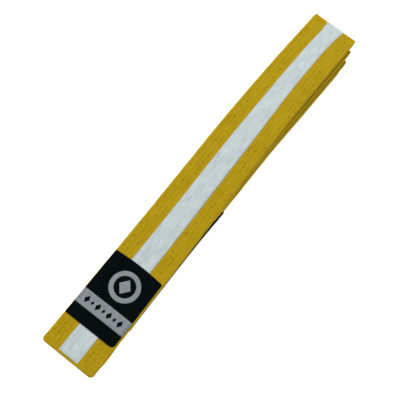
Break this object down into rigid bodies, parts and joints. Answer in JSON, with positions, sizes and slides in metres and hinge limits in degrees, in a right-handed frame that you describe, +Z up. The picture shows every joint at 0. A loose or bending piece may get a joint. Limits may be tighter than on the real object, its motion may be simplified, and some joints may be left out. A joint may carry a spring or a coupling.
{
  "type": "martial arts belt",
  "caption": "Quilted yellow cotton martial arts belt with a white centre stripe, black rank bar and woven label, folded to and fro into a flat stack with a hinge at every fold.",
  "frame": {"origin": "centre of the folded stack's box in plan, on the plane the belt lies on", "axes": "+X across the belt, +Y along it from the labelled end to the far folds, +Z up through the stack"},
  "size_m": [0.0444, 0.32, 0.0322],
  "materials": {
    "yellow_cotton": "heavy cotton twill, matt, quilted lengthwise",
    "core_cotton": "undyed stiff cotton, hidden",
    "white_ribbon": "smooth satin-faced cotton tape, faint lengthwise ribs",
    "yellow_thread": "sewing thread, matching the cover",
    "label_weave": "black damask-woven label with grey figures",
    "black_cotton": "matt black cotton twill",
    "black_thread": "black sewing thread"
  },
  "bodies": {
    "leaf_1": {"leaf_1_cover": "yellow_cotton", "leaf_1_core_plies": "core_cotton", "leaf_1_ribbon_upper": "white_ribbon", "leaf_1_ribbon_lower": "white_ribbon", "leaf_1_quilting_thread": "yellow_thread", "label_patch": "label_weave", "label_stitching": "black_thread"},
    "leaf_2": {"leaf_2_cover": "yellow_cotton", "leaf_2_core_plies": "core_cotton", "leaf_2_ribbon_upper": "white_ribbon", "leaf_2_ribbon_lower": "white_ribbon", "leaf_2_quilting_thread": "yellow_thread"},
    "leaf_3": {"leaf_3_cover": "yellow_cotton", "leaf_3_core_plies": "core_cotton", "leaf_3_ribbon_upper": "white_ribbon", "leaf_3_ribbon_lower": "white_ribbon", "leaf_3_quilting_thread": "yellow_thread"},
    "leaf_4": {"leaf_4_cover": "yellow_cotton", "leaf_4_core_plies": "core_cotton", "leaf_4_ribbon_upper": "white_ribbon", "leaf_4_ribbon_lower": "white_ribbon", "leaf_4_quilting_thread": "yellow_thread"},
    "leaf_5": {"leaf_5_cover": "yellow_cotton", "leaf_5_core_plies": "core_cotton", "leaf_5_ribbon_upper": "white_ribbon", "leaf_5_ribbon_lower": "white_ribbon", "leaf_5_quilting_thread": "yellow_thread"},
    "leaf_6": {"leaf_6_cover": "yellow_cotton", "leaf_6_core_plies": "core_cotton", "leaf_6_ribbon_upper": "white_ribbon", "leaf_6_ribbon_lower": "white_ribbon", "leaf_6_quilting_thread": "yellow_thread"},
    "leaf_7": {"leaf_7_cover": "yellow_cotton", "leaf_7_core_plies": "core_cotton", "leaf_7_ribbon_upper": "white_ribbon", "leaf_7_ribbon_lower": "white_ribbon", "leaf_7_quilting_thread": "yellow_thread"},
    "leaf_8": {"leaf_8_cover": "yellow_cotton", "leaf_8_core_plies": "core_cotton", "leaf_8_ribbon_upper": "white_ribbon", "leaf_8_ribbon_lower": "white_ribbon", "leaf_8_quilting_thread": "yellow_thread", "rank_bar_sleeve": "black_cotton", "rank_bar_stitching": "black_thread"}
  },
  "joints": [
    {"name": "fold_1_2", "type": "hinge", "parent": "leaf_2", "child": "leaf_1", "pos_m": [-0.00154, 0.1605, 0.0278], "axis": [-1, 0.0005, 0], "range_deg": [0, 180]},
    {"name": "fold_2_3", "type": "hinge", "parent": "leaf_3", "child": "leaf_2", "pos_m": [-0.00184, -0.1575, 0.0238], "axis": [1, -0.004, 0], "range_deg": [0, 180]},
    {"name": "fold_3_4", "type": "hinge", "parent": "leaf_4", "child": "leaf_3", "pos_m": [0.00037, 0.1565, 0.0198], "axis": [-1, 0.0074, 0], "range_deg": [0, 180]},
    {"name": "fold_4_5", "type": "hinge", "parent": "leaf_5", "child": "leaf_4", "pos_m": [-0.00204, -0.1545, 0.0158], "axis": [0.9999, -0.0109, 0], "range_deg": [0, 180]},
    {"name": "fold_5_6", "type": "hinge", "parent": "leaf_6", "child": "leaf_5", "pos_m": [0.00227, 0.1525, 0.0118], "axis": [-0.9999, 0.0143, 0], "range_deg": [0, 180]},
    {"name": "fold_6_7", "type": "hinge", "parent": "leaf_7", "child": "leaf_6", "pos_m": [-0.00214, -0.1515, 0.0078], "axis": [0.9999, -0.0143, 0], "range_deg": [0, 180]},
    {"name": "fold_7_8", "type": "hinge", "parent": "leaf_8", "child": "leaf_7", "pos_m": [0.00207, 0.1485, 0.0038], "axis": [-0.9999, 0.0141, 0], "range_deg": [0, 180]}
  ]
}
